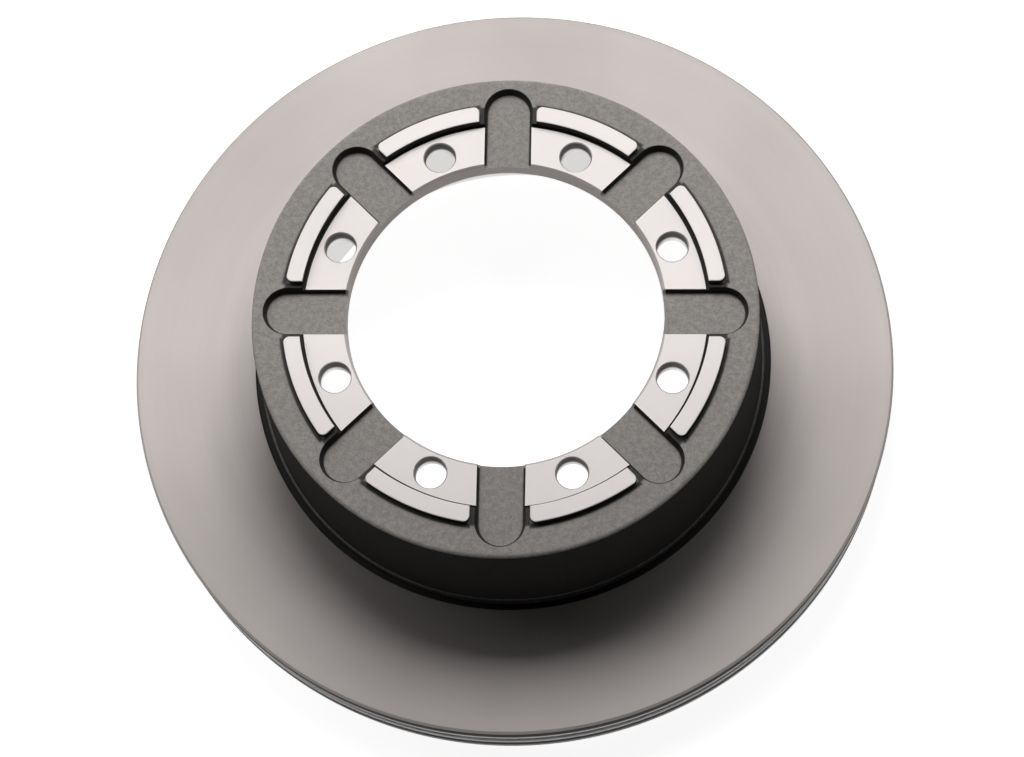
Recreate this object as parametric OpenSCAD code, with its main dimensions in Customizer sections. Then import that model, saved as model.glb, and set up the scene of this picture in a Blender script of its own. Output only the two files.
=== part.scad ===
// Ventilated brake disc: two friction plates joined by radial vanes, with a deep hat cast in one piece.
// The rear friction face lies in the plane z = 0, the axis is Z, and the hat rises towards +Z.

/* [Friction ring] */
// Outer diameter of both friction plates
disc_d = 330; // [310:1:350]
// Overall thickness over both friction faces
ring_thk = 28; // [24:0.5:34]
// Thickness of each friction plate
plate_thk = 10; // [8:0.5:11]
// Chamfer at the outer edge of each friction face
rim_chamfer = 1; // [0.5:0.1:2]

/* [Vent vanes] */
// Number of radial vanes between the plates
vane_count = 31; // [23:1:37]
// Thickness of one vane
vane_w = 7; // [4:0.5:9]
// Distance from the rounded vane tips to the outer edge
vane_setback = 4; // [2:0.5:12]
// Radial width of the annular air inlet in the rear side
inlet_w = 8.6; // [6:0.2:12]
// How far the turned inlet cuts into the vane ends
vane_trim = 1; // [0.4:0.1:1.8]

/* [Hat] */
// Height of the hat's cast face above the front friction face
hat_h = 59.5; // [54:0.5:72]
// Outer diameter of the hat where it meets the friction ring
hat_base_d = 217.2; // [214:0.2:226]
// Casting draft of the hat's outer wall, in degrees
hat_draft = 3.4; // [1:0.1:4]
// Rounding of the hat's outer edge
hat_edge_r = 2; // [1:0.5:3]
// Thickness of the hat's wall at its foot, from the outside to the turned bore
hat_wall = 10.4; // [8:0.2:13]
// Depth of the turned bore from the rear friction face
hat_bore_depth = 53; // [46:0.5:56]
// Wall of the thin collar around the bore at the rear
collar_wall = 3; // [2.4:0.1:3.6]
// Width of the turned ledge at the end of the bore
ledge_w = 4; // [2.5:0.5:5]
// Inner fillet between the hat's wall and its flange
root_r = 8; // [5:0.5:10]
// Height of the machined shoulder at the foot of the hat
shoulder_h = 2.6; // [1.5:0.1:4]
// How far the shoulder stands out from the cast wall
shoulder_w = 1; // [0.5:0.1:2]

/* [Mounting flange] */
// Diameter of the hub bore
hub_bore_d = 132; // [124:0.5:134]
// Flange thickness under the machined lands
flange_thk = 10; // [8.5:0.5:12]
// How far the machined lands lie below the cast hat face
land_drop = 1.2; // [0.8:0.1:2.5]
// Diameter of the lips' inner wall, which centres the disc on the hub
pilot_d = 170; // [167:0.5:173]
// Radial width of the lips
lip_w = 7; // [5:0.5:8]
// Height of the lips above the lands
lip_h = 4; // [3:0.1:6]
// Rounding of the lips' outer corners
lip_corner_r = 3; // [1:0.5:4]
// Distance from a groove's edge to the lip ends beside it
lip_end_gap = 2; // [1.2:0.1:3]

/* [Bolt holes] */
// Number of bolt holes, with one groove between each two
bolt_count = 8; // [6:1:9]
// Pitch circle diameter of the bolt holes
bolt_pcd = 150; // [147:0.5:152]
// Diameter of one bolt hole
bolt_hole_d = 13; // [10.5:0.5:14]

/* [Grooves in the hat face] */
// Width of a groove at its floor
groove_w = 19; // [14:0.2:20]
// Depth of a groove below the lands
groove_depth = 2.8; // [2:0.1:4]
// Draft of a groove's side walls, in degrees
groove_draft = 8; // [3:1:20]
// Bevel that blends a groove's side walls into its floor
groove_bevel = 0.8; // [0.4:0.1:1.4]
// Distance from a groove's outer end to the edge of the hat face
groove_margin = 4.8; // [3:0.2:7]

/* [Machined details] */
// Width of the relief grooves turned beside the shoulder and in the hat's root
relief_w = 2.4; // [1.5:0.1:3]
// Width of the finer relief groove turned at the foot of the lips
lip_relief_w = 1.2; // [0.8:0.1:1.6]
// Depth of the relief grooves
relief_depth = 0.8; // [0.4:0.1:1.2]
// Chamfer on the hub bore
bore_chamfer = 1; // [0.5:0.1:1.5]
// Small chamfer on turned and drilled edges
edge_break = 0.5; // [0.2:0.1:0.8]

/* [Hidden] */
$fn = 180;

// Cutters and joined pieces run past each other by this much
over = 1;

// Heights above the rear friction face
front_face_z = ring_thk;
front_plate_z = ring_thk - plate_thk;
inlet_floor_z = plate_thk + vane_trim;
hat_face_z = ring_thk + hat_h;
land_z = hat_face_z - land_drop;
flange_z = land_z - flange_thk;
lip_top_z = land_z + lip_h;
groove_floor_z = land_z - groove_depth;

// Radii from the axis
disc_r = disc_d / 2;
hat_base_r = hat_base_d / 2;
hat_face_r = hat_base_r - hat_h * tan(hat_draft);
hat_bore_r = hat_base_r - hat_wall;
collar_r = hat_bore_r + collar_wall;
inlet_r = collar_r + inlet_w;
ledge_r = hat_bore_r - ledge_w;
shoulder_r = hat_base_r + shoulder_w;
hub_bore_r = hub_bore_d / 2;
pilot_r = pilot_d / 2;
lip_r = pilot_r + lip_w;
vane_tip_r = disc_r - vane_setback;
face_relief_r = shoulder_r + relief_w;

// Half widths measured from a groove's centre line
groove_floor_half = groove_w / 2;
groove_top_half = groove_floor_half + (hat_face_z - groove_floor_z) * tan(groove_draft);
lip_end_half = groove_top_half + lip_end_gap;

// Centre of the groove's round outer end
groove_end_y = hat_face_r - groove_margin - groove_top_half;

pitch = 360 / bolt_count;

// One friction plate, with the chamfered friction face at z = 0 and the vanes on its other side
module friction_plate(inner_r) {
    rotate_extrude()
        polygon([
            [inner_r, 0],
            [disc_r - rim_chamfer, 0],
            [disc_r, rim_chamfer],
            [disc_r, plate_thk],
            [inner_r, plate_thk]
        ]);
}

module rear_plate() {
    friction_plate(collar_r + over);
}

module front_plate() {
    translate([0, 0, front_face_z])
        mirror([0, 0, 1])
            friction_plate(hat_bore_r - over);
}

// A straight radial vane with a round tip, let into both plates
module vane() {
    sunk = over / 2;
    inner_r = hat_bore_r + collar_wall / 2;
    tip_x = vane_tip_r - vane_w / 2;
    translate([0, 0, plate_thk - sunk])
        linear_extrude(front_plate_z - plate_thk + 2 * sunk)
            union() {
                translate([inner_r, -vane_w / 2])
                    square([tip_x - inner_r, vane_w]);
                translate([tip_x, 0])
                    circle(d = vane_w);
            }
}

module vanes() {
    for (i = [0 : vane_count - 1])
        rotate([0, 0, 90 - pitch / 2 + i * 360 / vane_count])
            vane();
}

// Outline of the hat as a solid plug, from the collar at the rear to the rounded outer edge
module hat_outline() {
    edge_x = hat_face_r - hat_edge_r * tan(45 - hat_draft / 2);
    edge_z = hat_face_z - hat_edge_r;
    union() {
        polygon([
            [0, 0],
            [collar_r + over, 0],
            [collar_r + over, front_plate_z + over],
            [hat_base_r, front_plate_z + over],
            [hat_base_r, front_face_z],
            [edge_x + hat_edge_r * cos(hat_draft), edge_z + hat_edge_r * sin(hat_draft)],
            [edge_x, edge_z],
            [edge_x, hat_face_z],
            [0, hat_face_z]
        ]);
        translate([edge_x, edge_z])
            circle(r = hat_edge_r);
    }
}

// Shoulder turned together with the friction face, at the foot of the hat
module shoulder() {
    translate([0, 0, front_face_z - over])
        cylinder(h = shoulder_h + over, r = shoulder_r);
}

// The hollow of the hat: turned bore, ledge, rounded root, relief and the flange's rear face
module hollow() {
    root_x = ledge_r - root_r;
    root_z = flange_z + relief_depth - root_r;
    relief_inner_r = root_x - relief_w;
    rotate_extrude()
        union() {
            polygon([
                [0, -over],
                [hat_bore_r + edge_break + over, -over],
                [hat_bore_r, edge_break],
                [hat_bore_r, hat_bore_depth],
                [ledge_r, hat_bore_depth + ledge_w],
                [ledge_r, root_z],
                [root_x, root_z],
                [root_x, flange_z + relief_depth],
                [relief_inner_r, flange_z + relief_depth],
                [relief_inner_r, flange_z],
                [0, flange_z]
            ]);
            translate([root_x, root_z])
                circle(r = root_r);
        }
}

// Annular air inlet turned into the rear side down to the vane ends
module inlet() {
    rotate_extrude()
        polygon([
            [collar_r - edge_break - over, -over],
            [inlet_r + edge_break + over, -over],
            [inlet_r, edge_break],
            [inlet_r, inlet_floor_z],
            [collar_r, inlet_floor_z],
            [collar_r, edge_break]
        ]);
}

// Relief turned into the front friction face around the shoulder
module face_relief() {
    translate([0, 0, front_face_z - relief_depth])
        difference() {
            cylinder(h = relief_depth + over, r = face_relief_r);
            translate([0, 0, -over])
                cylinder(h = relief_depth + 3 * over, r = shoulder_r);
        }
}

// Hub bore with a chamfer at both ends
module hub_bore() {
    rotate_extrude()
        polygon([
            [0, flange_z - over],
            [hub_bore_r + bore_chamfer + over, flange_z - over],
            [hub_bore_r, flange_z + bore_chamfer],
            [hub_bore_r, land_z - bore_chamfer],
            [hub_bore_r + bore_chamfer + over, land_z + over],
            [hub_bore_r + bore_chamfer + over, hat_face_z + over],
            [0, hat_face_z + over]
        ]);
}

// Turned recess inside the lips, which leaves the lands, with a relief groove at the lips' foot
module land_recess() {
    rotate_extrude()
        polygon([
            [0, land_z],
            [pilot_r - lip_relief_w, land_z],
            [pilot_r - lip_relief_w, land_z - relief_depth],
            [pilot_r, land_z - relief_depth],
            [pilot_r, lip_top_z - edge_break],
            [pilot_r + edge_break + over, lip_top_z + over],
            [0, lip_top_z + over]
        ]);
}

// Leaves a convex corner of a lip round, where its end meets its outer wall
module lip_corner_cutter() {
    centre_x = lip_end_half + lip_corner_r;
    centre_r = lip_r - lip_corner_r;
    centre_y = sqrt(centre_r * centre_r - centre_x * centre_x);
    reach = (lip_r + over) / centre_r;
    linear_extrude(lip_h + 4 * over)
        difference() {
            polygon([
                [lip_end_half - over, centre_y],
                [centre_x, centre_y],
                [centre_x * reach, centre_y * reach],
                [lip_end_half - over, centre_y * reach + over]
            ]);
            translate([centre_x, centre_y])
                circle(r = lip_corner_r);
        }
}

// Raised lips outside the lands, broken at each groove
module lips() {
    foot_z = hat_face_z - over;
    difference() {
        rotate_extrude()
            polygon([
                [pilot_r - over, foot_z],
                [lip_r, foot_z],
                [lip_r, lip_top_z - edge_break],
                [lip_r - edge_break, lip_top_z],
                [pilot_r - over, lip_top_z]
            ]);
        for (i = [0 : bolt_count - 1])
            rotate([0, 0, i * pitch])
                translate([0, 0, foot_z - over]) {
                    translate([-lip_end_half, 0, 0])
                        cube([2 * lip_end_half, lip_r + over, lip_h + 4 * over]);
                    lip_corner_cutter();
                    mirror([1, 0, 0])
                        lip_corner_cutter();
                }
    }
}

// A drafted groove from the hub bore outwards, open at the bore and round at its outer end
module groove() {
    depth = hat_face_z - groove_floor_z + over;
    bevel_half = groove_floor_half + groove_bevel * tan(groove_draft);
    top_half = groove_floor_half + depth * tan(groove_draft);
    inner_half = bevel_half - groove_bevel;
    translate([0, groove_end_y, groove_floor_z])
        union() {
            rotate([90, 0, 0])
                linear_extrude(groove_end_y)
                    polygon([
                        [-inner_half, 0],
                        [inner_half, 0],
                        [bevel_half, groove_bevel],
                        [top_half, depth],
                        [-top_half, depth],
                        [-bevel_half, groove_bevel]
                    ]);
            rotate_extrude()
                polygon([
                    [0, 0],
                    [inner_half, 0],
                    [bevel_half, groove_bevel],
                    [top_half, depth],
                    [0, depth]
                ]);
        }
}

module grooves() {
    for (i = [0 : bolt_count - 1])
        rotate([0, 0, i * pitch])
            groove();
}

// A bolt hole through the flange, with a small chamfer at the land
module bolt_hole() {
    hole_r = bolt_hole_d / 2;
    rotate_extrude()
        polygon([
            [0, flange_z - over],
            [hole_r, flange_z - over],
            [hole_r, land_z - edge_break],
            [hole_r + edge_break + over, land_z + over],
            [0, land_z + over]
        ]);
}

module bolt_holes() {
    for (i = [0 : bolt_count - 1])
        rotate([0, 0, (i + 0.5) * pitch])
            translate([0, bolt_pcd / 2, 0])
                bolt_hole();
}

module brake_disc() {
    color("silver")
        difference() {
            union() {
                rear_plate();
                front_plate();
                vanes();
                rotate_extrude()
                    hat_outline();
                shoulder();
                lips();
            }
            hollow();
            inlet();
            face_relief();
            hub_bore();
            land_recess();
            grooves();
            bolt_holes();
        }
}

brake_disc();
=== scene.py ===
"""Looks of a one-piece ventilated brake disc on its rear face: turned rings, cast hat, machined lands."""

import math

import bpy
from mathutils import Matrix, Vector


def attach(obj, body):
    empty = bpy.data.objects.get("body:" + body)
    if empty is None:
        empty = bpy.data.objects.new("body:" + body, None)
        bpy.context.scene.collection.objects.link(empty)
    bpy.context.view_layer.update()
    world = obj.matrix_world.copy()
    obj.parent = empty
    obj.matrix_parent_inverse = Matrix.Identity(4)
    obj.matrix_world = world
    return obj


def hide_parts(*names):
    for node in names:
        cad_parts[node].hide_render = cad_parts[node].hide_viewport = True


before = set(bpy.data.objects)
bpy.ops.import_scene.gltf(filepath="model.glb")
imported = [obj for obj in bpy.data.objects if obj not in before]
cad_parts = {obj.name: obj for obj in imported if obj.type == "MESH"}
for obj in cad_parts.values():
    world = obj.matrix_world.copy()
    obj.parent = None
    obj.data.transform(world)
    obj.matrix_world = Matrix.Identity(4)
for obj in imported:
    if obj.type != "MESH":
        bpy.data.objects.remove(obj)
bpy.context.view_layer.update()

MM = 0.001

# Levels of the disc above the floor
RING_TOP = 28 * MM
PLATE = 10 * MM
INLET_FLOOR = 11 * MM
SHOULDER_TOP = 30.6 * MM
HAT_BORE_END = 53 * MM
FLANGE_REAR = 76.3 * MM
GROOVE_FLOOR = 83.5 * MM
LAND = 86.3 * MM
HAT_FACE = 87.5 * MM
LIP_TOP = 90.3 * MM

# Radii from the disc's axis
RIM = 165 * MM
FACE_RELIEF = 112 * MM
INLET_OUTER = 109.8 * MM
SHOULDER = 109.6 * MM
HAT_BASE = 108.6 * MM
COLLAR = 101.2 * MM
HAT_BORE = 98.2 * MM
LEDGE = 94.2 * MM
LIP_OUTER = 92 * MM
PILOT = 85 * MM
LIP_RELIEF = 83.8 * MM
HUB_BORE = 66 * MM

PITCH_RADIUS = 75 * MM
HOLE_RADIUS = 6.5 * MM
HOLE_COUNT = 8
HOLE_STEP = 2 * math.pi / HOLE_COUNT

# Small cuts and edges
RELIEF_DEPTH = 0.8 * MM
CHAMFER = 1 * MM
HOLE_EDGE = 0.5 * MM
LIP_EDGE = 0.4 * MM
LIP_OFF_GROOVE = 2 * MM
PLATE_EDGE = 1.2 * MM
LEDGE_LEVEL = HAT_BORE_END + HAT_BORE - LEDGE

HAT_SLOPE = math.tan(math.radians(3.4))
HAT_EDGE = HAT_BASE - (HAT_FACE - RING_TOP) * HAT_SLOPE
GROOVE_SLOPE = math.tan(math.radians(8))
GROOVE_HALF = 9.5 * MM
GROOVE_MOUTH = GROOVE_HALF + (HAT_FACE - GROOVE_FLOOR) * GROOVE_SLOPE

VANE_HALF = 3.5 * MM
VANE_TIP = RIM - 7.5 * MM

# How deep the vanes are let into the plates, and how far a cutter reaches past the metal
LET_IN = 0.5 * MM
CLEAR = 1 * MM

# The grooves' cutters start inside the hub bore, which they open into
GROOVE_START = 50 * MM

# Edges bent by less than this shade smoothly
SHARP = math.radians(35)

# Linear colours of the finishes, with a darker and a lighter one where the tone varies, and of painted light
# and shade
TURNED_DARK = (0.475, 0.438, 0.422, 1.0)
TURNED_LIGHT = (0.55, 0.508, 0.49, 1.0)
CAST_DARK = (0.305, 0.288, 0.273, 1.0)
CAST_LIGHT = (0.425, 0.402, 0.381, 1.0)
BRIGHT_DARK = (0.84, 0.793, 0.775, 1.0)
BRIGHT_LIGHT = (0.905, 0.853, 0.832, 1.0)
# Pale turned bore walls lifted near white: their own turned finish, and painted light for the bright floor
# seen through; also the rim's painted light
PALE_BORE_AND_PAINTED_LIGHT = (0.93, 0.915, 0.905, 1.0)
# Painted shade on the top of the bolt holes' walls
PAINTED_HOLE_SHADE = (0.27, 0.26, 0.255, 1.0)
# Near-black painted shade on walls, corners, reliefs, the hat's foot and the rim's bands
PAINTED_SHADE_COLOUR = (0.03, 0.029, 0.028, 1.0)

# The width over which one finish gives way to the next
HAIR = 0.1 * MM

# Levels between which the rim's two bands of painted shade set in, and the painted shade on the top of a
# bolt hole's wall
UPPER_BAND = (19 * MM, 22.5 * MM)
LOWER_BAND = (2.5 * MM, 6.5 * MM)
HOLE_SHADE_BAND = (LAND - 7 * MM, LAND - 4.5 * MM)

# The lens's place from the middle of the front friction face, and how far under that it aims
LENS_PLACE = Vector((61, -352, 1019)) * MM
AIM_DROP = 9 * MM
FOCAL_PIXELS = 2480
FRAME_W = 1024
SENSOR_W = 36.0

# Name, place, side length and power of each lamp
LAMPS = [
    ("key_lamp", (0.0, 0.30, 0.60), 0.3, 1.75),
    ("left_lamp", (-1.20, 0.62, 1.50), 0.7, 5.0),
    ("back_lamp", (-0.62, 1.07, 1.60), 0.7, 4.5),
    ("right_lamp", (0.85, 0.90, 1.55), 0.7, 3.0),
]
WORLD_FILL = 0.01

# The floor's tone, the glow that makes it pale in the picture, and how far it lies under the disc
FLOOR_TONE = 0.55
FLOOR_LIFT = 0.9
FLOOR_DROP = 0.05 * MM

# What the casting's node tree takes in: counts are whole, angles in radians, slopes bare, the rest in metres
CASTING_SIZES = {
    "Rim Radius": RIM,
    "Turning Steps": 240,
    "Vane Count": 31,
    "First Vane": math.radians(67.5),
    "Vane Half Width": VANE_HALF,
    "Vane Root": HAT_BORE + 4 * MM,
    "Vane Tip": VANE_TIP,
    "Vane Fillet": 1.6 * MM,
    "Vane Start": HAT_BORE + 1.5 * MM,
    "Inlet Radius": INLET_OUTER,
    "Inlet Floor": INLET_FLOOR,
    "Rear Plate Face": PLATE,
    "Front Plate Face": RING_TOP - PLATE,
    "Bolt Count": HOLE_COUNT,
    "Pitch Radius": PITCH_RADIUS,
    "Hole Radius": HOLE_RADIUS,
    "Hole Edge": HOLE_EDGE,
    "Flange Rear": FLANGE_REAR,
    "Land": LAND,
    "Hat Face": HAT_FACE,
    "Groove Half Width": GROOVE_HALF,
    "Groove Floor": GROOVE_FLOOR,
    "Groove Slope": GROOVE_SLOPE,
    "Groove End": HAT_EDGE - 4.8 * MM - GROOVE_MOUTH,
    "Groove Fillet": 1.2 * MM,
    "Cast Edge": 0.4 * MM,
    "Lip Gap": GROOVE_MOUTH + LIP_OFF_GROOVE,
    "Lip Corner": 3 * MM,
    "Lip Outer Radius": LIP_OUTER,
    "Lip Top": LIP_TOP,
    "Lip Edge": LIP_EDGE,
}

# Sections of the turned parts as (radius, height, bend of the corner), clockwise round the metal
HAT_AND_FRONT_PLATE = [
    (PILOT, LIP_TOP, LIP_EDGE),
    (LIP_OUTER, LIP_TOP, LIP_EDGE),
    (LIP_OUTER, HAT_FACE, 0.5 * MM),
    (HAT_EDGE, HAT_FACE, 2 * MM),
    (HAT_BASE - (SHOULDER_TOP - RING_TOP) * HAT_SLOPE, SHOULDER_TOP, 0.4 * MM),
    (SHOULDER, SHOULDER_TOP, 0.3 * MM),
    (SHOULDER, RING_TOP - RELIEF_DEPTH, 0.2 * MM),
    (FACE_RELIEF, RING_TOP - RELIEF_DEPTH, 0.2 * MM),
    (FACE_RELIEF, RING_TOP, 0.15 * MM),
    (RIM - CHAMFER, RING_TOP, 0.3 * MM),
    (RIM, RING_TOP - CHAMFER, 0.3 * MM),
    (RIM, RING_TOP - PLATE, 0.4 * MM),
    (COLLAR, RING_TOP - PLATE, 1.5 * MM),
    (COLLAR, 0, 0.5 * MM),
    (HAT_BORE, 0, 0.5 * MM),
    (HAT_BORE, HAT_BORE_END, 0.5 * MM),
    (LEDGE, LEDGE_LEVEL, 0.5 * MM),
    (LEDGE, FLANGE_REAR + RELIEF_DEPTH, 8 * MM),
    (LIP_RELIEF, FLANGE_REAR + RELIEF_DEPTH, 0.2 * MM),
    (LIP_RELIEF, FLANGE_REAR, 0.15 * MM),
    (HUB_BORE + CHAMFER, FLANGE_REAR, 0.2 * MM),
    (HUB_BORE, FLANGE_REAR + CHAMFER, 0.2 * MM),
    (HUB_BORE, LAND - CHAMFER, 0.2 * MM),
    (HUB_BORE + CHAMFER, LAND, 0.2 * MM),
    (LIP_RELIEF, LAND, 0.15 * MM),
    (LIP_RELIEF, LAND - RELIEF_DEPTH, 0.2 * MM),
    (PILOT, LAND - RELIEF_DEPTH, 0.2 * MM),
]
REAR_PLATE = [
    (INLET_OUTER, PLATE, 0),
    (RIM, PLATE, PLATE_EDGE),
    (RIM, CHAMFER, 0.3 * MM),
    (RIM - CHAMFER, 0, 0.3 * MM),
    (INLET_OUTER, 0, 0.5 * MM),
]


class Term:
    """A node socket that can stand in a Python expression: each operation adds its Math node."""

    def __init__(self, graph, socket):
        self.graph = graph
        self.socket = socket

    def __add__(self, other):
        return self.graph.maths("ADD", self, other)

    def __radd__(self, other):
        return self.graph.maths("ADD", other, self)

    def __sub__(self, other):
        return self.graph.maths("SUBTRACT", self, other)

    def __rsub__(self, other):
        return self.graph.maths("SUBTRACT", other, self)

    def __mul__(self, other):
        return self.graph.maths("MULTIPLY", self, other)

    def __rmul__(self, other):
        return self.graph.maths("MULTIPLY", other, self)

    def __truediv__(self, other):
        return self.graph.maths("DIVIDE", self, other)

    def __rtruediv__(self, other):
        return self.graph.maths("DIVIDE", other, self)

    def __gt__(self, other):
        return self.graph.maths("GREATER_THAN", self, other)

    def __abs__(self):
        return self.graph.maths("ABSOLUTE", self)

    def root(self):
        return self.graph.maths("SQRT", self)

    def at_least(self, other):
        return self.graph.maths("MAXIMUM", self, other)

    def at_most(self, other):
        return self.graph.maths("MINIMUM", self, other)


class Graph:
    """One node tree, and the one method that adds any node to it."""

    def __init__(self, tree):
        self.tree = tree
        tree.nodes.clear()

    def add(self, kind, settings=None, inputs=None, output=0):
        node = self.tree.nodes.new(kind)
        for name, value in (settings or {}).items():
            setattr(node, name, value)
        for name, value in (inputs or {}).items():
            target = self.find(node.inputs, name)
            if isinstance(value, Term):
                self.tree.links.new(value.socket, target)
            elif isinstance(value, list):
                for term in value:
                    self.tree.links.new(term.socket, target)
            else:
                target.default_value = value
        return Term(self, self.find(node.outputs, output)) if len(node.outputs) else node

    def maths(self, operation, *terms):
        return self.add("ShaderNodeMath", {"operation": operation}, dict(enumerate(terms)))

    @staticmethod
    def find(sockets, name):
        if isinstance(name, int):
            return sockets[name]
        return next(s for s in sockets if name in (s.identifier, s.name))

    def point(self, x, y, z):
        return self.add("ShaderNodeCombineXYZ", {}, {0: x, 1: y, 2: z})

    def split(self, vector, axes="XYZ"):
        return [self.add("ShaderNodeSeparateXYZ", {}, {0: vector}, axis) for axis in axes]


class Recipe(Graph):
    """A geometry node tree with named inputs and one result."""

    def __init__(self, name, sizes, takes_mesh=False):
        super().__init__(bpy.data.node_groups.new(name, "GeometryNodeTree"))
        interface = self.tree.interface
        interface.new_socket(name="Result", in_out="OUTPUT", socket_type="NodeSocketGeometry")
        if takes_mesh:
            interface.new_socket(name="Mesh", in_out="INPUT", socket_type="NodeSocketGeometry")
        for size, value in sizes.items():
            kind = "NodeSocketInt" if isinstance(value, int) else "NodeSocketFloat"
            interface.new_socket(name=size, in_out="INPUT", socket_type=kind).default_value = value

    def given(self, name):
        return self.add("NodeGroupInput", {}, {}, name)

    def use(self, recipe, inputs):
        return self.add("GeometryNodeGroup", {"node_tree": recipe.tree}, inputs)

    def result(self, mesh):
        self.add("NodeGroupOutput", {}, {"Result": mesh})
        return self

    def cut(self, operation, mesh, *others):
        """Joins solids, or takes the others out of the first."""
        if operation == "UNION":
            inputs = {"Mesh 2": [mesh, *others]}
        else:
            inputs = {"Mesh 1": mesh, "Mesh 2": list(others)}
        return self.add("GeometryNodeMeshBoolean", {"operation": operation, "solver": "MANIFOLD"}, inputs)

    def bend(self, distance, radius):
        """How far a round edge moves a surface out, or in for a negative radius, at a distance from it."""
        size = abs(radius)
        left = (size - distance.at_least(0.0)).at_least(0.0)
        return self.maths("SIGN", radius) * (size - (size * size - left * left).root())


def rounded(corners, steps=5):
    """A closed outline with every corner that has a bend drawn as an arc."""
    points = []
    for i, (radius, height, bend) in enumerate(corners):
        corner = Vector((radius, height))
        if not bend:
            points.append(corner)
            continue
        back = (Vector(corners[i - 1][:2]) - corner).normalized()
        ahead = (Vector(corners[(i + 1) % len(corners)][:2]) - corner).normalized()
        half = back.angle(ahead) / 2
        centre = corner + (back + ahead).normalized() * (bend / math.sin(half))
        start = corner + back * (bend / math.tan(half)) - centre
        end = corner + ahead * (bend / math.tan(half)) - centre
        points += [centre + start.slerp(end, k / steps) * bend for k in range(steps + 1)]
    return points


def section_mesh(name, *outlines):
    """Closed outlines in the XZ plane, as edges to be turned about the axis."""
    points, edges = [], []
    for outline in outlines:
        first, count = len(points), len(outline)
        points += [(p.x, 0.0, p.y) for p in outline]
        edges += [(first + k, first + (k + 1) % count) for k in range(count)]
    mesh = bpy.data.meshes.new(name)
    mesh.from_pydata(points, edges, [])
    return mesh


def turning_recipe():
    """Turns an outline drawn in the XZ plane about the Z axis."""
    g = Recipe("turned_on_the_axis", {"Rim Radius": 0.1, "Turning Steps": 240}, takes_mesh=True)
    rim = g.given("Rim Radius")
    x, z = g.split(g.add("GeometryNodeInputPosition"), "XZ")
    # A swept profile lies with its X outwards and its Y downwards
    laid = g.add("GeometryNodeSetPosition", {}, {
        "Geometry": g.given("Mesh"), "Position": g.point(x - rim, 0 - z, 0.0),
    })
    path = g.add("GeometryNodeCurvePrimitiveCircle", {}, {
        "Resolution": g.given("Turning Steps"), "Radius": rim,
    })
    profile = g.add("GeometryNodeMeshToCurve", {}, {"Mesh": laid})
    return g.result(g.add("GeometryNodeCurveToMesh", {}, {"Curve": path, "Profile Curve": profile}))


def slot_recipe():
    """A solid with round ends about two centres on the X axis, whose half width follows its height."""
    sizes = {"From": 0.0, "To": 0.0, "Bottom": 0.0, "Top": 0.01, "Half Width": 0.01, "Slope": 0.0}
    bends = {"Foot Level": 0.0, "Foot Bend": 0.0, "Head Level": 0.01, "Head Bend": 0.0}
    g = Recipe("round_ended_slot", {**sizes, **bends, "Facets": 50, "Levels": 16})
    start, bottom = g.given("From"), g.given("Bottom")
    rod = g.add("GeometryNodeMeshCylinder", {"fill_type": "NGON"}, {
        "Vertices": g.given("Facets"), "Side Segments": g.given("Levels"), "Radius": 1.0, "Depth": 1.0,
    })
    x, y, z = g.split(g.add("GeometryNodeInputPosition"))
    # The levels lie closer together near both ends, where the bends are
    share = 0.5 - 0.5 * g.maths("COSINE", (z + 0.5) * math.pi)
    height = bottom + (g.given("Top") - bottom) * share
    half = g.given("Half Width") + g.given("Slope") * (height - bottom) + (
        g.bend(height - g.given("Foot Level"), g.given("Foot Bend"))
        + g.bend(g.given("Head Level") - height, g.given("Head Bend"))
    )
    along = start + (g.given("To") - start) * (x > 0.0) + half * x
    return g.result(g.add("GeometryNodeSetPosition", {}, {
        "Geometry": rod, "Position": g.point(along, half * y, height),
    }))


def lip_gap_recipe():
    """The gap between two lips: parallel sides that leave the lips' outer corners and top edges round."""
    widths = {"Half Gap": 0.01, "Outer Radius": 0.1, "Corner": 0.003}
    g = Recipe("gap_between_lips", {**widths, "Bottom": 0.0, "Top": 0.01, "Edge": 0.0005})
    outer, top, bottom = g.given("Outer Radius"), g.given("Top"), g.given("Bottom")
    block = g.add("GeometryNodeMeshCube", {}, {
        "Size": (1.0, 1.0, 1.0), "Vertices X": 48, "Vertices Y": 2, "Vertices Z": 16,
    })
    x, y, z = g.split(g.add("GeometryNodeInputPosition"))
    # From inside the lips' inner wall to well past their outer one
    beyond, span = 3 * MM, 11 * MM
    radius = outer + beyond - span * (0.5 - x)
    height = bottom + (top + CLEAR - bottom) * (z + 0.5)
    corner_bend = g.bend(outer - radius, g.given("Corner"))
    edge_bend = g.bend(top - height, g.given("Edge"))
    half = g.given("Half Gap") + corner_bend + edge_bend
    across = 2 * y * half
    along = (radius * radius - across * across).root()
    return g.result(g.add("GeometryNodeSetPosition", {}, {
        "Geometry": block, "Position": g.point(along, across, height),
    }))


def ring_recipe():
    """Copies of a mesh at even steps about the Z axis."""
    g = Recipe("evenly_about_the_axis", {"Count": 8, "First Angle": 0.0}, takes_mesh=True)
    count = g.given("Count")
    turn = g.add("GeometryNodeInputIndex") * (2 * math.pi) / count + g.given("First Angle")
    places = g.add("GeometryNodePoints", {}, {"Count": count})
    copies = g.add("GeometryNodeInstanceOnPoints", {}, {
        "Points": places, "Instance": g.given("Mesh"), "Rotation": g.point(0.0, 0.0, turn),
    })
    return g.result(g.add("GeometryNodeRealizeInstances", {}, {"Geometry": copies}))


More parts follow.
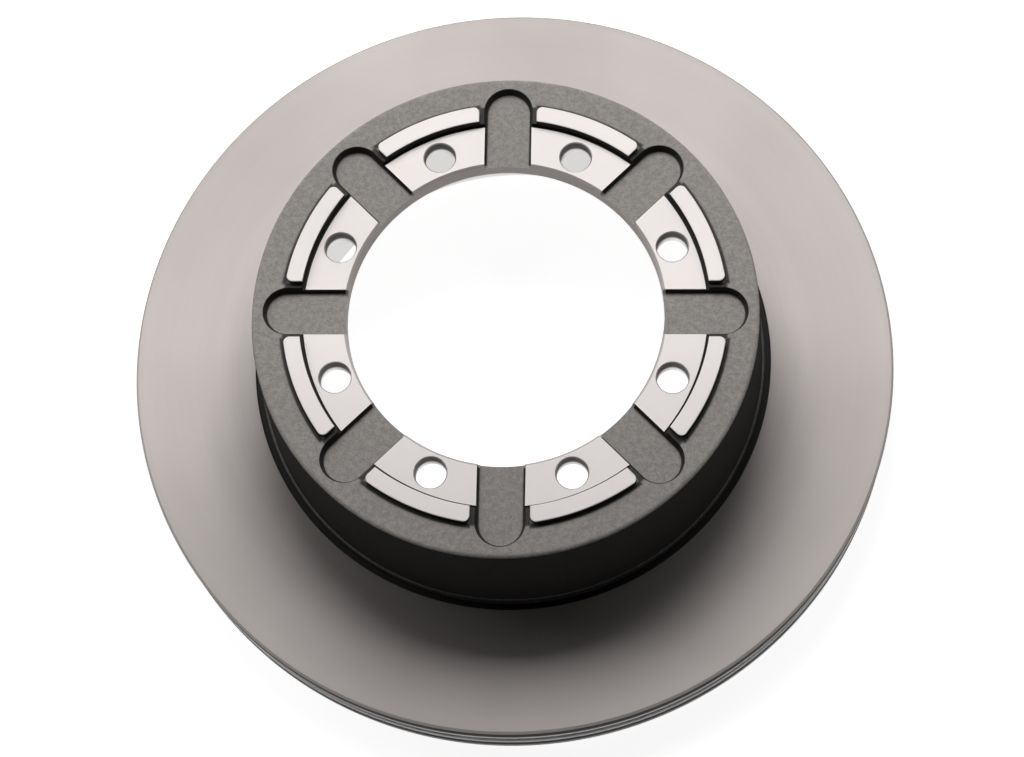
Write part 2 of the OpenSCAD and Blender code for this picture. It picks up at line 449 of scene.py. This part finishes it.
def casting_recipe(finish):
    """The whole casting: the turned blank with its vanes, less the lip gaps, grooves and bolt holes."""
    g = Recipe("ventilated_casting", CASTING_SIZES, takes_mesh=True)
    turning, slot, lip_gap, ring = turning_recipe(), slot_recipe(), lip_gap_recipe(), ring_recipe()
    steps, rim, bolts = g.given("Turning Steps"), g.given("Rim Radius"), g.given("Bolt Count")
    front, rear = g.given("Front Plate Face"), g.given("Rear Plate Face")
    hat_face, land, fillet = g.given("Hat Face"), g.given("Land"), g.given("Vane Fillet")
    blank = g.use(turning, {"Mesh": g.given("Mesh"), "Rim Radius": rim, "Turning Steps": steps})

    # Vanes let into both plates and the collar, with their inner ends turned off level at the inlet's floor
    vane = g.use(slot, {
        "From": g.given("Vane Root"), "To": g.given("Vane Tip"), "Half Width": g.given("Vane Half Width"),
        "Bottom": rear - LET_IN, "Foot Level": rear, "Foot Bend": fillet,
        "Top": front + LET_IN, "Head Level": front, "Head Bend": fillet, "Facets": 26, "Levels": 14,
    })
    vanes = g.use(ring, {"Mesh": vane, "Count": g.given("Vane Count"), "First Angle": g.given("First Vane")})
    reaches = (("Inlet Radius", g.given("Inlet Floor")), ("Vane Start", front + CLEAR))
    inlet, core = [g.add("GeometryNodeMeshCylinder", {"fill_type": "NGON"}, {
        "Vertices": steps, "Radius": g.given(radius), "Depth": 2 * top,
    }) for radius, top in reaches]
    vanes = g.cut("DIFFERENCE", vanes, inlet, core)

    groove_floor = g.given("Groove Floor")
    groove = g.use(slot, {
        "From": GROOVE_START, "To": g.given("Groove End"), "Half Width": g.given("Groove Half Width"),
        "Slope": g.given("Groove Slope"), "Bottom": groove_floor, "Foot Level": groove_floor,
        "Foot Bend": 0 - g.given("Groove Fillet"), "Top": hat_face + CLEAR, "Head Level": hat_face,
        "Head Bend": g.given("Cast Edge"), "Facets": 66, "Levels": 20,
    })
    pitch, flange_rear, hole_edge = g.given("Pitch Radius"), g.given("Flange Rear"), g.given("Hole Edge")
    hole = g.use(slot, {
        "From": pitch, "To": pitch, "Half Width": g.given("Hole Radius"),
        "Bottom": flange_rear - CLEAR, "Foot Level": flange_rear, "Foot Bend": hole_edge,
        "Top": hat_face, "Head Level": land, "Head Bend": hole_edge, "Facets": 50, "Levels": 20,
    })
    gap = g.use(lip_gap, {
        "Half Gap": g.given("Lip Gap"), "Outer Radius": g.given("Lip Outer Radius"),
        "Corner": g.given("Lip Corner"), "Bottom": hat_face, "Top": g.given("Lip Top"),
        "Edge": g.given("Lip Edge"),
    })
    # The holes lie half a pitch from the grooves
    starts = ((gap, 0.0), (groove, 0.0), (hole, math.pi / bolts))
    cutters = [g.use(ring, {"Mesh": piece, "Count": bolts, "First Angle": first}) for piece, first in starts]
    casting = g.cut("DIFFERENCE", g.cut("UNION", blank, vanes), *cutters)

    # Round surfaces shade smoothly, and only true edges stay sharp
    smooth = g.add("GeometryNodeSetShadeSmooth", {"domain": "FACE"}, {
        "Geometry": casting, "Shade Smooth": True,
    })
    sharp = g.add("GeometryNodeInputMeshEdgeAngle") > SHARP
    edged = g.add("GeometryNodeSetShadeSmooth", {"domain": "EDGE"}, {
        "Geometry": smooth, "Selection": sharp, "Shade Smooth": False,
    })
    real = g.add("GeometryNodeRealizeInstances", {}, {"Geometry": edged})
    return g.result(g.add("GeometryNodeSetMaterial", {}, {"Geometry": real, "Material": finish}))


def dressed_disc(finish):
    """The casting as one plain mesh, made by the node tree from its turned sections."""
    section = section_mesh("brake_disc_section", rounded(HAT_AND_FRONT_PLATE), rounded(REAR_PLATE))
    blank = bpy.data.objects.new("brake_disc_section", section)
    bpy.context.scene.collection.objects.link(blank)
    recipe = casting_recipe(finish)
    nodes = blank.modifiers.new("casting", "NODES")
    nodes.node_group = recipe.tree
    for item in recipe.tree.interface.items_tree:
        if item.in_out == "INPUT" and item.name in CASTING_SIZES:
            nodes[item.identifier] = CASTING_SIZES[item.name]
    weigh = blank.modifiers.new("even_faces", "WEIGHTED_NORMAL")
    weigh.mode = "FACE_AREA_WITH_ANGLE"
    weigh.keep_sharp = True
    evaluated = blank.evaluated_get(bpy.context.evaluated_depsgraph_get())
    mesh = bpy.data.meshes.new_from_object(evaluated)
    blank.modifiers.clear()
    mesh.name = "brake_disc_turned"
    disc = bpy.data.objects.new("brake_disc_turned", mesh)
    bpy.context.scene.collection.objects.link(disc)
    bpy.data.objects.remove(blank)
    return disc


def grey(level):
    """A neutral linear colour."""
    return (level, level, level, 1.0)


class Finish(Graph):
    """The node tree of one material."""

    def __init__(self, name):
        self.material = bpy.data.materials.new(name)
        self.material.use_nodes = True
        super().__init__(self.material.node_tree)

    def rise(self, value, low, high):
        """0 below low, 1 above high, and a smooth rise between them."""
        ends = {"Value": value, "From Min": low, "From Max": high}
        return self.add("ShaderNodeMapRange", {"interpolation_type": "SMOOTHSTEP"}, ends)

    def within(self, value, low, high, soft=HAIR / 2):
        """1 where the value lies between low and high."""
        return self.rise(value, low - soft, low + soft) * (1 - self.rise(value, high - soft, high + soft))

    def either(self, *masks):
        """1 where any of the masks is 1."""
        rest = 1.0
        for mask in masks:
            rest = (1 - mask) * rest
        return 1 - rest

    def noise(self, place, scale, detail=2.0, roughness=0.5):
        return self.add("ShaderNodeTexNoise", {}, {
            "Vector": place, "Scale": scale, "Detail": detail, "Roughness": roughness,
        }, "Fac")

    def blend(self, share, first, second):
        """A colour between two, by the share of the second."""
        return self.add("ShaderNodeMix", {"data_type": "RGBA"}, {
            "Factor_Float": share, "A_Color": first, "B_Color": second,
        }, "Result_Color")


def casting_finish():
    """The finishes of the casting with painted light and shade, told apart by where a point lies and which
    way it faces.
    """
    g = Finish("grey_iron_casting")
    place = g.add("ShaderNodeTexCoord", {}, {}, "Object")
    x, y, z = g.split(place)
    up = g.split(g.add("ShaderNodeTexCoord", {}, {}, "Normal"), "Z")[0]
    r = (x * x + y * y).root()
    level = g.rise(abs(up), 0.9, 0.96)
    upright = 1 - g.rise(abs(up), 0.15, 0.55)

    # Distance from the nearest bolt hole's centre, by folding the disc onto half of one hole's share
    turn = g.maths("ARCTAN2", y, x)
    fold = abs(g.maths("FLOORED_MODULO", turn, HOLE_STEP) - HOLE_STEP / 2)
    beside, ahead = r * g.maths("SINE", fold), r * g.maths("COSINE", fold) - PITCH_RADIUS
    from_hole = (beside * beside + ahead * ahead).root()
    hole_edge = HOLE_RADIUS + HOLE_EDGE + HAIR / 2
    in_hole = 1 - g.rise(from_hole, hole_edge, hole_edge + HAIR)

    # Bright machined surfaces: the lands and the lips
    land = g.within(z, LAND - HAIR, LAND + HAIR) * level
    lip = g.rise(z, LIP_TOP - LIP_EDGE, LIP_TOP - HAIR)
    bright = g.either(land * (1 - g.rise(r, PILOT, PILOT + HAIR)), lip)

    # Turned surfaces: bolt holes, hub bore, the flange's rear face, and the hat's bore with its ledge
    above = g.rise(z, SHOULDER_TOP - HAIR, SHOULDER_TOP)
    groove_floor = g.within(z, GROOVE_FLOOR - HAIR, GROOVE_FLOOR + HAIR) * level
    bore_edge = HUB_BORE + CHAMFER + HAIR
    hub_bore = (1 - g.rise(r, bore_edge, bore_edge + HAIR)) * (1 - groove_floor)
    rear_side = 1 - g.rise(z, FLANGE_REAR + HAIR, FLANGE_REAR + 2 * HAIR)
    flange_rear = rear_side * (1 - g.rise(r, LIP_RELIEF - HAIR, LIP_RELIEF))
    below_ledge = 1 - g.rise(z, LEDGE_LEVEL, LEDGE_LEVEL + 2 * HAIR)
    hat_bore = below_ledge * (1 - g.rise(r, HAT_BORE + 0.6 * MM, HAT_BORE + 0.8 * MM))
    turned = g.either(in_hole, hub_bore, flange_rear, hat_bore)
    # Painted shade on the top of the bolt holes' walls
    hole_painted_shade = in_hole * upright * g.rise(z, *HOLE_SHADE_BAND)
    # Hole walls below the shade, and the hat's bore: pale turned finish, lifted near white as painted light
    bored_with_painted_light = g.either(hat_bore, in_hole * above) * upright * (1 - hole_painted_shade)

    # The rim, outside the vanes' tips: painted light by the gap between the plates, with bands of painted
    # shade above and below
    vane_end = VANE_TIP + VANE_HALF
    under_face = 1 - g.rise(z, RING_TOP - 0.9 * MM, RING_TOP - 0.6 * MM)
    rim = g.rise(r, vane_end, vane_end + 1 * MM) * under_face
    over_plate = g.rise(z, PLATE - PLATE_EDGE, PLATE - PLATE_EDGE / 2)
    upper = g.rise(z, *UPPER_BAND)
    lower = g.rise(z, *LOWER_BAND) * (1 - over_plate)
    middle = over_plate * (1 - upper)
    # The rim's bands of painted shade
    edge = rim * upright * g.either(upper, lower)

    # As-cast surfaces: the hat, and the passages between the plates but for the turned ends of the vanes
    between = g.within(z, PLATE - HAIR, RING_TOP - PLATE + HAIR)
    passage = between * g.rise(r, COLLAR + HAIR, COLLAR + 3 * HAIR)
    past_inlet = g.rise(r, INLET_OUTER + HAIR, INLET_OUTER + 2 * HAIR)
    trimmed = g.within(z, PLATE - 2 * HAIR, INLET_FLOOR + HAIR) * (1 - past_inlet)
    cast = g.either(above * (1 - turned), passage * (1 - trimmed) * (1 - rim)) * (1 - bright)

    # Painted shade: near-black on cast walls and on the rim's bands, in the reliefs, in the corners round
    # lips and grooves, on the hat face's sloped edges and round the hat's foot
    aside = r * g.maths("SINE", HOLE_STEP / 2 - fold)
    lip_side = GROOVE_MOUTH + LIP_OFF_GROOVE
    beside_groove = g.within(aside, GROOVE_MOUTH - 0.2 * MM, lip_side + 0.2 * MM, 0.4 * MM)
    by_groove = beside_groove * g.within(r, LIP_RELIEF, LIP_OUTER + 0.5 * MM, 0.6 * MM)
    behind_lip = g.within(r, LIP_OUTER - 0.3 * MM, LIP_OUTER + 1.7 * MM, 0.5 * MM)
    by_lip = behind_lip * g.rise(aside, lip_side - 1 * MM, lip_side + 0.5 * MM)
    corner = g.either(by_groove, by_lip) * g.within(z, HAT_FACE - 0.6 * MM, HAT_FACE + 0.2 * MM)
    relief = g.within(r, LIP_RELIEF, PILOT) * g.within(z, LAND - RELIEF_DEPTH - 0.2 * MM, LAND - 0.4 * MM)
    mouth = (1 - g.rise(abs(up), 0.8, 0.97)) * (1 - g.rise(r, HAT_EDGE - 3 * MM, HAT_EDGE - 2.5 * MM))
    foot_wall = g.within(r, HAT_BASE - 2 * MM, FACE_RELIEF + 0.3 * MM)
    foot = foot_wall * g.within(z, RING_TOP - 1 * MM, SHOULDER_TOP)
    painted_shade = g.either(cast * g.either(upright, mouth, 0.9 * corner, relief), edge, foot)

    # Turning marks run round the axis: they follow the radius on flat faces and the height on walls
    across = g.point(r + z, 0.0, 0.0)
    rings = g.noise(across, scale=1400.0, roughness=0.6)
    bands = g.noise(across, scale=120.0, detail=3.0, roughness=0.6)
    cloud = g.noise(place, scale=14.0)
    grain = g.noise(place, scale=1100.0, detail=3.0, roughness=0.65)
    pebble = g.noise(place, scale=420.0)

    tone = 0.5 * cloud + 0.3 * bands + 0.2 * rings
    turned_colour = g.blend(g.rise(tone, 0.3, 0.7), TURNED_DARK, TURNED_LIGHT)
    cast_colour = g.blend(g.rise(0.6 * grain + 0.4 * pebble, 0.34, 0.66), CAST_DARK, CAST_LIGHT)
    bright_colour = g.blend(0.5 * rings + 0.5 * grain, BRIGHT_DARK, BRIGHT_LIGHT)
    colour = g.blend(bright, g.blend(cast, turned_colour, cast_colour), bright_colour)
    # Painted shade on the top of the holes' walls, over the pale walls and painted light below it
    colour = g.blend(hole_painted_shade, g.blend(bored_with_painted_light, colour, PALE_BORE_AND_PAINTED_LIGHT), PAINTED_HOLE_SHADE)
    # Painted light on the rim by the gap between the plates
    colour = g.blend(rim * middle, colour, PALE_BORE_AND_PAINTED_LIGHT)
    # Painted shade laid over all the finishes
    colour = g.blend(0.94 * painted_shade, colour, PAINTED_SHADE_COLOUR)

    rough = (0.40 + 0.10 * rings - 0.12 * bored_with_painted_light) * (1 - cast) + cast * (0.62 + 0.2 * grain)
    metal = (1 - painted_shade) * (0.35 * cast + (1 - cast) * (0.5 - 0.25 * bright)) + 0.4 * bored_with_painted_light - 0.35 * hole_painted_shade
    height = (1 - cast) * rings * 0.1 + cast * (0.35 * grain + 0.65 * pebble)
    normal = g.add("ShaderNodeBump", {}, {"Strength": 0.7, "Distance": 0.35 * MM, "Height": height})
    surface = g.add("ShaderNodeBsdfPrincipled", {}, {
        "Base Color": colour, "Roughness": rough, "Metallic": metal, "Normal": normal,
        "Specular IOR Level": 0.05, "Anisotropic": 0.9, "Anisotropic Rotation": 0.25,
    })
    g.add("ShaderNodeOutputMaterial", {}, {"Surface": surface})
    return g.material


def seen_directly(g):
    """1 for rays that show the ground to the lens, to metal and through glass."""
    kinds = ("Is Camera Ray", "Is Glossy Ray", "Is Transmission Ray")
    camera, glossy, through = [g.add("ShaderNodeLightPath", {}, {}, kind) for kind in kinds]
    return (camera + glossy + through).at_most(1.0)


def studio_ground():
    """A round pale floor that keeps the shadow and rises to a pale wall all round."""
    reach, wall, height, steps = 3.0, 3.6, 1.6, 48
    rings = [(reach, 0.0), (reach + 0.4, 0.12), (wall, 0.5), (wall, height)]
    points = [(0.0, 0.0, 0.0)]
    faces = []
    for radius, level in rings:
        for k in range(steps):
            turn = 2 * math.pi * k / steps
            points.append((radius * math.cos(turn), radius * math.sin(turn), level))
    for k in range(steps):
        ahead = (k + 1) % steps
        faces.append((0, 1 + k, 1 + ahead))
        for row in range(len(rings) - 1):
            first = 1 + row * steps
            faces.append((first + k, first + steps + k, first + steps + ahead, first + ahead))
    mesh = bpy.data.meshes.new("studio_ground")
    mesh.from_pydata(points, [], faces)
    mesh.shade_smooth()
    g = Finish("pale_ground")
    base = g.add("ShaderNodeBsdfPrincipled", {}, {
        "Base Color": grey(FLOOR_TONE), "Roughness": 0.9, "Specular IOR Level": 0.0,
    })
    lift = g.add("ShaderNodeEmission", {}, {"Color": grey(1.0), "Strength": FLOOR_LIFT * seen_directly(g)})
    both = g.add("ShaderNodeAddShader", {}, {0: base, 1: lift})
    g.add("ShaderNodeOutputMaterial", {}, {"Surface": both})
    mesh.materials.append(g.material)
    ground = bpy.data.objects.new("studio_ground", mesh)
    ground.location.z = -FLOOR_DROP
    bpy.context.scene.collection.objects.link(ground)


def studio_world():
    """A low, even fill."""
    world = bpy.data.worlds.new("studio")
    world.use_nodes = True
    g = Graph(world.node_tree)
    light = g.add("ShaderNodeBackground", {}, {"Color": grey(1.0), "Strength": WORLD_FILL})
    g.add("ShaderNodeOutputWorld", {}, {"Surface": light})
    bpy.context.scene.world = world


def soft_lamp(name, place, size, power):
    """A square lamp that faces the middle of the disc and doesn't show in the picture."""
    lamp = bpy.data.lights.new(name, "AREA")
    lamp.size = size
    lamp.energy = power
    holder = bpy.data.objects.new(name, lamp)
    holder.location = place
    holder.rotation_euler = (Vector((0, 0, RING_TOP)) - Vector(place)).to_track_quat("-Z", "Y").to_euler()
    holder.visible_camera = False
    bpy.context.scene.collection.objects.link(holder)


def photo_camera():
    """The lens looks down on the disc from the near side, turned so that +Y points up in the picture."""
    centre = Vector((0, 0, RING_TOP))
    back = LENS_PLACE.normalized()
    right = (Vector((1, 0, 0)) - back * back.x).normalized()
    up = back.cross(right)
    aim = centre - up * AIM_DROP
    back = (centre + LENS_PLACE - aim).normalized()
    right = (right - back * back.dot(right)).normalized()
    up = back.cross(right)
    lens = bpy.data.cameras.new("photo_camera")
    lens.sensor_width = SENSOR_W
    lens.lens = FOCAL_PIXELS / FRAME_W * SENSOR_W
    lens.clip_start = 0.05
    camera = bpy.data.objects.new("photo_camera", lens)
    turn = Matrix((right, up, back)).transposed().to_4x4()
    camera.matrix_world = Matrix.Translation(centre + LENS_PLACE) @ turn
    bpy.context.scene.collection.objects.link(camera)
    bpy.context.scene.camera = camera


disc = dressed_disc(casting_finish())
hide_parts("brake_disc")
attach(disc, "root")
studio_ground()
studio_world()
for name, place, size, power in LAMPS:
    soft_lamp(name, place, size, power)
photo_camera()
bpy.context.scene.view_settings.view_transform = "Standard"
